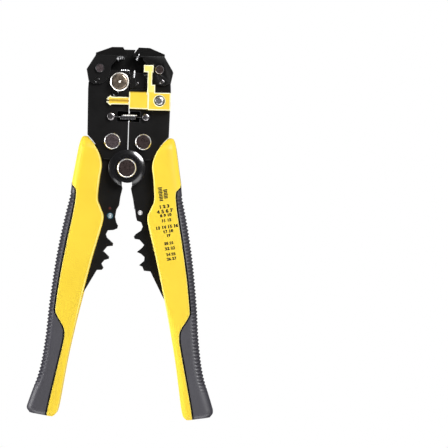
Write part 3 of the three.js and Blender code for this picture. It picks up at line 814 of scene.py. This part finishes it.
def step(x, low, high):
    """A smooth step from 0 at low to 1 at high."""
    t = np.clip((x - low) / (high - low), 0, 1)
    return t * t * (3 - 2 * t)


class Section:
    """The cross-section of a grip at a distance along its axis."""

    def __init__(self, a):
        self.a = a
        self.outer = float(OUTER_AT(a))
        self.inner = min(float(INNER_AT(a)), self.outer - 0.05)
        top = min(1.0, max(0.0, (a - GRIP_TOP) / TOP_ROUNDING))
        bottom = min(1.0, max(0.0, (GRIP_END - a) / END_ROUNDING))
        rounding = math.sqrt(1 - (1 - top) ** 2) * math.sqrt(1 - (1 - bottom) ** 2 * END_SHARE)
        self.half = TOP_HALF + (GRIP_HALF - TOP_HALF) * rounding
        most = min(WIDTH_SHARE * (self.outer - self.inner), HALF_SHARE * self.half)
        self.outer_r = min(OUTER_R, most)
        self.inner_r = min(INNER_R + INNER_MORE * float(step(a, *INNER_WIDENS)), most)

    def height(self, lat):
        """Half thickness at a distance out from the axis."""
        z = self.half
        for near, radius in ((self.outer - lat, self.outer_r), (lat - self.inner, self.inner_r)):
            if near < radius:
                z = min(z, self.half - radius + math.sqrt(max(0.0, radius ** 2 - (radius - near) ** 2)))
        middle = (lat - self.inner) / (self.outer - self.inner) * 2 - 1
        return z - CROWN * middle * middle * min(1.0, self.half / GRIP_HALF)

    def point(self, side, lat, z):
        x, y = AXIS_START + AXIS * self.a + ACROSS * lat
        return (side * x, y, MID_Z + z)


# where a section's points lie between its two edges, as shares of the width: close together at both
SPREAD = [0.006, 0.02, 0.045, 0.08, 0.125, 0.18, 0.26, 0.36, 0.48, 0.6, 0.7, 0.79, 0.86, 0.915, 0.95, 0.975,
          0.99, 1]
# the seam between sleeve and overlay: half its width, its depth, and the corners on its two sides
SEAM_HALF = 0.42
SEAM_DEEP = 1.1
SLEEVE_CORNER = 0.2
OVERLAY_CORNER = 0.12
# distances along the axis: the overlay's top, the last section, and the first and last of the ribs
OVERLAY_TOP = 25.6
GRIP_BOTTOM = 155.2
RIBS = (30.0, 143.0)
RIB_PITCH = 1.98
RIB_DEEP = 0.7
SECTIONS_PER_RIB = 8
# the least level of the front's points, at the seam and elsewhere
THIN = 0.05
EDGE_THIN = 0.04
# how far the overlay stands above the sleeve's surface, and the highest level it may reach
OVERLAY_PROUD = 0.12
HIGHEST = 9.9


def skin(bm, loops, material_of=lambda n: 0):
    """Faces between closed loops of the same length, with both ends closed."""
    rings = [[bm.verts.new(p) for p in loop] for loop in loops]
    count = len(rings[0])
    for low, high in zip(rings, rings[1:]):
        for n in range(count):
            m = (n + 1) % count
            face = bm.faces.new((low[n], low[m], high[m], high[n]))
            face.material_index = material_of(n)
    bm.faces.new(rings[0][::-1])
    bm.faces.new(rings[-1])


def sleeve(side):
    """The yellow part of a grip: it runs under the overlay's edge, with its seam painted dark as shade and
    a pale lip, a painted highlight, along its rounded edges.
    """
    stations = [*np.linspace(-1.15, 6, 18), *np.linspace(6.6, 22, 22), *np.linspace(22.5, 34, 36),
                *np.linspace(35, 90, 70), *np.linspace(90.8, 148, 64), *np.linspace(148.6, GRIP_BOTTOM, 14)]
    loops = []
    for a in stations:
        s = Section(a)
        here = float(step(a, OVERLAY_TOP - 0.6, OVERLAY_TOP + 1.2))
        seam = min(float(SEAM_AT(a)), s.outer) if a > OVERLAY_TOP - 0.6 else s.outer
        edge = max(seam - SEAM_HALF * here, s.inner + 0.4)
        under = min(seam + (SEAM_HALF + 0.9) * here, s.outer - 0.02 * here)
        top = s.height(edge)
        deep = SEAM_DEEP * here
        lip = edge - SLEEVE_CORNER * here
        front = [(under, max(THIN, s.height(under) - deep - 0.1)), (edge, max(THIN, top - deep)),
                 (edge, max(THIN, top - 0.3 * here)), (lip, max(THIN, top - 0.06 * here))]
        for f in SPREAD:
            lat = lip - f * (lip - s.inner)
            front.append((lat, max(EDGE_THIN, s.height(lat))))
        loops.append([s.point(side, lat, z) for lat, z in [*front, *mirror(front)]])
    count = len(loops[0])
    half_count = count // 2
    # the seam's faces take painted shade, and the lip's strips at both edges of the front take a painted
    # highlight
    yellow, seam_shade_look, highlight_look = range(3)
    strips = {1: seam_shade_look}
    strips.update({n: highlight_look for n in (2, 3, half_count - 4, half_count - 3, half_count - 2)})

    def look(n):
        """The look of a strip of the skin, the same for the front and the rear."""
        return seam_shade_look if n in (0, count - 1) else strips.get(min(n, count - 2 - n), yellow)

    bm = bmesh.new()
    skin(bm, loops, look)
    word = WORD[side]
    return piece(f"{word}_grip_sleeve_fine", bm, ["grip_yellow", "painted_seam_shade", "highlight_yellow"],
                 f"{word}_handle", [f"{word}_grip_sleeve"], smooth_deg=CURVED_SMOOTH_DEG)


def overlay(side):
    """The grey part of a grip, with ribs across its outer edge."""
    first, last = RIBS
    ribbed = np.arange(first, last, RIB_PITCH / SECTIONS_PER_RIB)
    stations = [*np.linspace(OVERLAY_TOP, 29.8, 26), *ribbed, *np.linspace(last, 150, 14),
                *np.linspace(150.5, GRIP_BOTTOM - 0.1, 12)]
    loops = []
    for a in stations:
        s = Section(a)
        seam = min(float(SEAM_AT(a)) + SEAM_HALF, s.outer - OVERLAY_CORNER)
        proud = OVERLAY_PROUD * float(step(a, OVERLAY_TOP, OVERLAY_TOP + 4))
        start = s.height(seam)
        edge = seam + OVERLAY_CORNER
        front = [(seam, max(THIN, start - 1.6)), (seam, max(THIN, start - 0.25)), (edge, start)]
        for f in SPREAD:
            lat = edge + f * (s.outer - edge)
            front.append((lat, max(EDGE_THIN, min(HIGHEST, s.height(lat) + proud))))
        wave = 0.5 + 0.5 * math.cos(2 * math.pi * (a - first) / RIB_PITCH)
        ribs = float(step(a, first, first + 3) * (1 - step(a, last - 9, last)))
        shaped = []
        for lat, z in front:
            near = 1 - float(step(s.outer - lat, 1.8, 3.2))
            cut = RIB_DEEP * ribs * wave * near
            shaped.append((lat - cut, z - cut * (0.6 if z > 2 else 0)))
        loops.append([s.point(side, lat, z) for lat, z in [*shaped, *mirror(shaped)]])
    bm = bmesh.new()
    skin(bm, loops)
    word = WORD[side]
    piece(f"{word}_grip_overlay_fine", bm, ["grip_grey"], f"{word}_handle", [f"{word}_grip_overlay"],
          smooth_deg=CURVED_SMOOTH_DEG)


# ---- printed marks ----------------------------------------------------------------------------------

# rows of a plain size scale on the right grip: figures, middle X and Y, and their height
SCALE_ROWS = [("1 2 3", 21.4, -20.7, 1.8), ("4 5 6 7", 21.85, -23.3, 2.0), ("8 9 10", 22.4, -25.5, 1.6),
              ("11 12", 22.8, -28.3, 1.6), ("13 14 15 16", 23.15, -31.95, 1.7), ("17 18", 23.9, -34.3, 1.6),
              ("19", 24.15, -36.6, 1.5), ("20 21", 24.6, -40.9, 1.5), ("22 23", 25.3, -43.7, 1.6),
              ("24 25", 25.85, -46.95, 1.5), ("26 27", 26.3, -49.4, 1.5)]
SCALE_TURN_DEG = 10.0
# a font's size and the widening of its strokes for each mm of a figure's height, and its letter spacing
FONT_SIZE = 1.35
FONT_BOLD = 0.06
FONT_SPACING = 1.12
# each row is drawn twice, moved this far left and right, so that the figures are bold
BOLD_SHIFT = 0.07
# two upright ladders of short ticks above the rows: X and Y of the first tick, and their number
TICK_LADDERS = [(18.7, -10.4, 9), (21.6, -11.5, 6)]
TICK_STEP = (0.13, -0.86)
TICK_SIZE = (1.9, 0.6)
LONG_TICK = 2.4
# how far the marks stand above the grip, and how far they reach into it
MARK_HIGH = 0.035
MARK_DEEP = 0.12


def marks(grip):
    """Raised black figures and ticks, laid on the right grip's surface."""
    bpy.context.view_layer.update()
    tree = BVHTree.FromObject(grip, bpy.context.evaluated_depsgraph_get())
    bm = bmesh.new()
    for text, x, y, height in SCALE_ROWS:
        for shift in (-BOLD_SHIFT, BOLD_SHIFT):
            add_text(bm, text, x + shift, y, height, SCALE_TURN_DEG)
    short, width = TICK_SIZE
    across, down = TICK_STEP
    for x, y, count in TICK_LADDERS:
        for tick in range(count):
            length = short if tick % 3 else LONG_TICK
            add_box(bm, (length, width, 0.1), (x + across * tick, y + down * tick, 0), SCALE_TURN_DEG)
    well_above = 5 * MID_Z
    for vert in bm.verts:
        raised = vert.co.z > 0
        origin = Vector((vert.co.x, vert.co.y, well_above)) * MM
        hit = tree.ray_cast(origin, Vector((0, 0, -1)))[0]
        ground = hit.z / MM if hit else MID_Z + GRIP_HALF
        vert.co.z = ground + (MARK_HIGH if raised else -MARK_DEEP)
    piece("scale_marks", bm, ["print_black"], "right_handle", smooth_deg=30)


def add_text(bm, text, x, y, height, turn_deg):
    curve = bpy.data.curves.new("figures", "FONT")
    curve.body = text
    curve.size = FONT_SIZE * height
    curve.space_character = FONT_SPACING
    curve.align_x = "CENTER"
    curve.align_y = "CENTER"
    curve.extrude = 0.05
    curve.offset = FONT_BOLD * height
    curve.resolution_u = 3
    made = bpy.data.objects.new("figures", curve)
    bpy.context.scene.collection.objects.link(made)
    bpy.context.view_layer.update()
    mesh = bpy.data.meshes.new_from_object(made.evaluated_get(bpy.context.evaluated_depsgraph_get()))
    mesh.transform(Matrix.Translation((x, y, 0)) @ Matrix.Rotation(math.radians(turn_deg), 4, "Z"))
    bm.from_mesh(mesh)
    bpy.data.objects.remove(made)
    bpy.data.curves.remove(curve)
    bpy.data.meshes.remove(mesh)


# the level of the handles' front core plates, where the eyelets end and the paint lies
PLATE_FACE = 3.0
RED_DOT = (-8.9, -22.4)


def eyelets():
    """The tubular rivets that pin the core plates together, open right through."""
    high = PLATE_FACE
    for side, centre, outer, bore, look in ((LEFT, LEFT_EYELET, 1.0, 0.5, "cyan_zinc"),
                                            (RIGHT, RIGHT_EYELET, 0.88, 0.72, "rivet_rim")):
        front = [(outer, 0), (outer, high - 0.12), (outer - 0.1, high), (bore + 0.08, high),
                 (bore, high - 0.1)]
        word = WORD[side]
        turned(f"{word}_core_rivet_fine", [*front, *mirror(front)], centre, [look], f"{word}_handle",
               [f"{word}_core_rivet"], sides=40)


def paint_ring():
    """The blue ring painted round the left handle's tubular rivet, and the red dot beside it."""
    low, high = PLATE_FACE, PLATE_FACE + 0.06
    inner, outer, foot = 1.3, 1.7, low - 0.3
    ring = [(inner, foot), (inner, high - 0.02), (inner + 0.08, high), (outer - 0.08, high),
            (outer, high - 0.03), (outer, foot), (inner, foot)]
    turned("blue_ring", ring, LEFT_EYELET, ["blue_paint"], "left_handle", sides=48)
    dot = [(0, low - 0.2), (0.75, low - 0.2), (0.75, high - 0.03), (0.6, high), (0, high)]
    turned("red_dot", dot, RED_DOT, ["red_paint"], "left_handle", sides=32)


# ---- light, floor and camera ------------------------------------------------------------------------

# half the floor's side and its drop below the tool, in metres
FLOOR_HALF = 1.6
FLOOR_DROP = 0.0005


def studio():
    """A luminous white table under a room that is dark above and bright low down."""
    scene = bpy.context.scene
    scene.view_settings.view_transform = "Standard"
    scene.view_settings.look = "None"
    world = bpy.data.worlds.new("studio")
    scene.world = world
    world.use_nodes = True
    tree = world.node_tree
    background = tree.nodes["Background"]
    place = tree.nodes.new("ShaderNodeTexCoord")
    split = tree.nodes.new("ShaderNodeSeparateXYZ")
    link(tree, place, "Generated", split, "Vector")
    height = node(tree, "ShaderNodeMapRange", {"From Min": -1.0})
    link(tree, split, "Z", height, "Value")
    sky = ramp(tree, height, "Result", [(0.48, grey(0.06)), (0.5, grey(0.85)), (0.73, grey(0.75)),
                                        (0.81, grey(0.12)), (1.0, grey(0.09))])
    link(tree, sky, "Color", background, "Color")
    # the side where Y is large and X is small is dimmed
    corner = node(tree, "ShaderNodeMath", operation="SUBTRACT")
    link(tree, split, "Y", corner, 0)
    link(tree, split, "X", corner, 1)
    dimmed = node(tree, "ShaderNodeMapRange",
                  {"From Min": 0.7, "From Max": 1.15, "To Min": 1.0, "To Max": 0.5})
    link(tree, corner, "Value", dimmed, "Value")
    link(tree, dimmed, "Result", background, "Strength")

    bm = bmesh.new()
    bmesh.ops.create_grid(bm, x_segments=2, y_segments=2, size=FLOOR_HALF)
    mesh = bpy.data.meshes.new("floor")
    bm.to_mesh(mesh)
    bm.free()
    floor = bpy.data.objects.new("floor", mesh)
    scene.collection.objects.link(floor)
    floor.location = (0, 0, -FLOOR_DROP)
    glowing, _, shader, _ = surface("floor", specular=0.0)
    shader.inputs["Base Color"].default_value = (0.0, 0.0, 0.0, 1.0)
    shader.inputs["Emission Color"].default_value = (1.0, 1.0, 1.0, 1.0)
    shader.inputs["Emission Strength"].default_value = 1.0
    shader.inputs["Roughness"].default_value = 1.0
    mesh.materials.append(glowing)
    floor.visible_glossy = False

    area_light("upper_right", (0.55, 0.65, 0.72), 0.5, 9.0)
    area_light("below", (-0.1, -1.0, 0.6), 0.9, 6.0)
    area_light("left", (-0.95, 0.1, 0.16), 0.5, 10.0, (0.0, -0.03, 0.0)).visible_glossy = False
    # lights that only glossy surfaces show
    for name, place, size, power in (("glint_right", (0.48, 0.56, 0.75), 0.55, 15.0),
                                     ("glint_dish", (-0.42, -0.5, 0.8), 0.25, 0.5),
                                     ("glint_dish_right", (0.34, -0.36, 0.85), 0.45, 1.3),
                                     ("glint_rim_left", (-0.55, -0.75, 0.38), 0.4, 1.8),
                                     ("glint_rim_right", (0.5, -0.8, 0.38), 0.4, 2.8),
                                     ("glint_left", (-0.95, 0.1, 0.28), 0.7, 8.0)):
        area_light(name, place, size, power).visible_diffuse = False


def area_light(name, place, size, power, target=(0.0, 0.0, 0.0)):
    """A round light that faces a target, its places and size in metres and its power in watts."""
    light = bpy.data.lights.new(name, "AREA")
    light.shape = "DISK"
    light.size = size
    light.energy = power
    made = bpy.data.objects.new(name, light)
    bpy.context.scene.collection.objects.link(made)
    made.location = place
    made.rotation_euler = (Vector(target) - Vector(place)).to_track_quat("-Z", "Y").to_euler()
    return made


def camera():
    """Straight down on the tool's front, turned a little so that the tool leans to the right."""
    view_centre = (54.7, -29.3)
    # the picture is seen_width wide at seen_z, which is distance below the camera
    distance, seen_width, seen_z = 1500.0, 248.6, MID_Z + 4
    sensor, lean_deg = 36.0, 1.7
    data = bpy.data.cameras.new("camera")
    data.sensor_width = sensor
    data.lens = sensor * distance / seen_width
    data.clip_start = 0.05
    data.clip_end = 20.0
    made = bpy.data.objects.new("camera", data)
    bpy.context.scene.collection.objects.link(made)
    made.location = Vector((*view_centre, distance + seen_z)) * MM
    made.rotation_euler = (0, 0, math.radians(lean_deg))
    bpy.context.scene.camera = made


plates()
cutting_jaws()
fastenings()
knob()
pivot_dish("pivot_dish_front", False)
pivot_dish("pivot_dish_rear", True)
wire_stop()
spring()
for grip_side in (LEFT, RIGHT):
    yellow = sleeve(grip_side)
    overlay(grip_side)
marks(yellow)
eyelets()
paint_ring()
studio()
camera()
